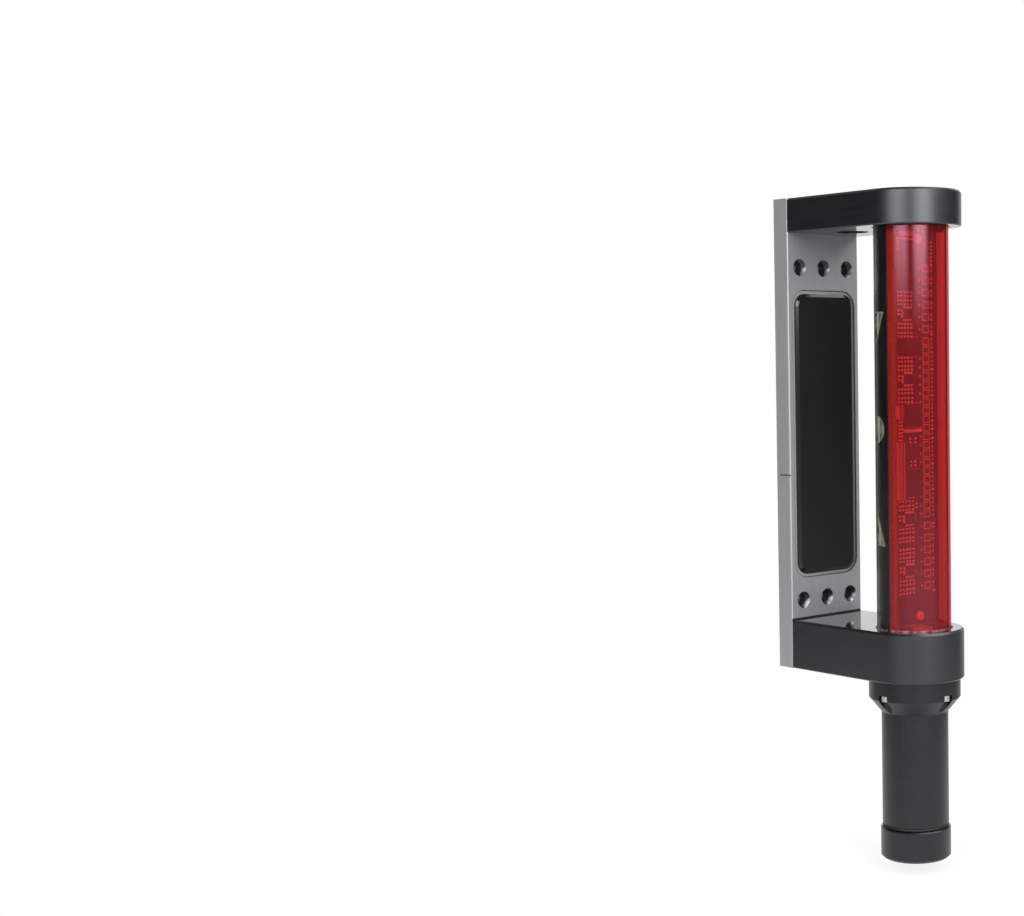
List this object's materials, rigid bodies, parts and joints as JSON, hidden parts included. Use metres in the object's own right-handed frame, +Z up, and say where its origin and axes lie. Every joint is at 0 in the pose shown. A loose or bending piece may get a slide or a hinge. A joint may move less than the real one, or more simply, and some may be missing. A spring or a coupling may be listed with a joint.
{
  "type": "laser receiver",
  "caption": "Machine-control laser receiver: silver back plate and two black arms around an upright tube with a red sensor window and a position display, over a screw-capped battery tube.",
  "frame": {"origin": "centre of the back plate's rear face, where it bolts to a mast bracket", "axes": "+Z up along the window tube, -Y the front that faces the laser, +X to the right seen from the front"},
  "size_m": [0.0538, 0.1058, 0.3566],
  "materials": {
    "silver": "natural anodised, satin",
    "black_metal": "black anodised, satin",
    "inlay": "gloss",
    "steel": "bright",
    "clear": "clear polished",
    "red_film": "red transparent",
    "black_film": "gloss",
    "olive_pane": "translucent",
    "seal": "matte",
    "board": "satin",
    "diode": "gloss",
    "chip": "matte",
    "connector": "matte",
    "led": "gloss",
    "moulding": "matte",
    "pale_moulding": "matte",
    "lead": "satin",
    "button": "matte",
    "contact": "nickel plated",
    "cell": "satin sleeve"
  },
  "bodies": {
    "receiver": {"back_plate": "silver", "upper_arm": "black_metal", "lower_arm": "black_metal", "battery_tube": "black_metal", "button_bezel": "black_metal", "name_inlay": "inlay", "arm_screws": "steel", "collar_screws": "steel", "board_screws": "steel", "contact_block_screws": "steel", "board_crystal": "steel", "window_tube": "clear", "red_filter": "red_film", "display_mask": "black_film", "down_arrow_panes": "olive_pane", "centre_dot_panes": "olive_pane", "up_arrow_panes": "olive_pane", "upper_tube_seal": "seal", "lower_tube_seal": "seal", "collar_seal": "seal", "button_seal": "seal", "sensor_board": "board", "display_board_left": "board", "display_board_right": "board", "photodiodes": "diode", "board_chips": "chip", "amplifier_chips": "chip", "board_regulator": "chip", "board_connector": "connector", "board_header": "connector", "lead_sockets": "connector", "display_leds_left": "led", "display_leds_right": "led", "contact_block": "moulding", "button_switch": "moulding", "upper_board_block": "pale_moulding", "lower_board_block": "pale_moulding", "supply_lead": "lead", "switch_lead": "lead", "cell_contacts": "contact"},
    "button": {"power_button": "button"},
    "cells": {"cell_carrier": "moulding", "battery_cells": "cell", "cell_bridges": "contact"},
    "cap": {"battery_cap": "black_metal", "cap_o_ring": "seal", "cap_spring": "contact"}
  },
  "joints": [
    {"name": "power_press", "type": "slide", "parent": "receiver", "child": "button", "axis": [0, 0, 1], "range_m": [0, 0.001], "stiffness_N_per_m": 300, "springref_m": -0.002},
    {"name": "cap_lower", "type": "slide", "parent": "receiver", "child": "cells", "axis": [0, 0, -1], "range_m": [0, 0.008]},
    {"name": "cap_turn", "type": "hinge", "parent": "cells", "child": "cap", "pos_m": [0, -0.079, -0.2104], "axis": [0, 0, -1], "range_deg": [0, 1440]}
  ],
  "couplings": [
    {"joint": "cap_lower", "follows": "cap_turn", "m_per_rad": 0.00031831}
  ]
}
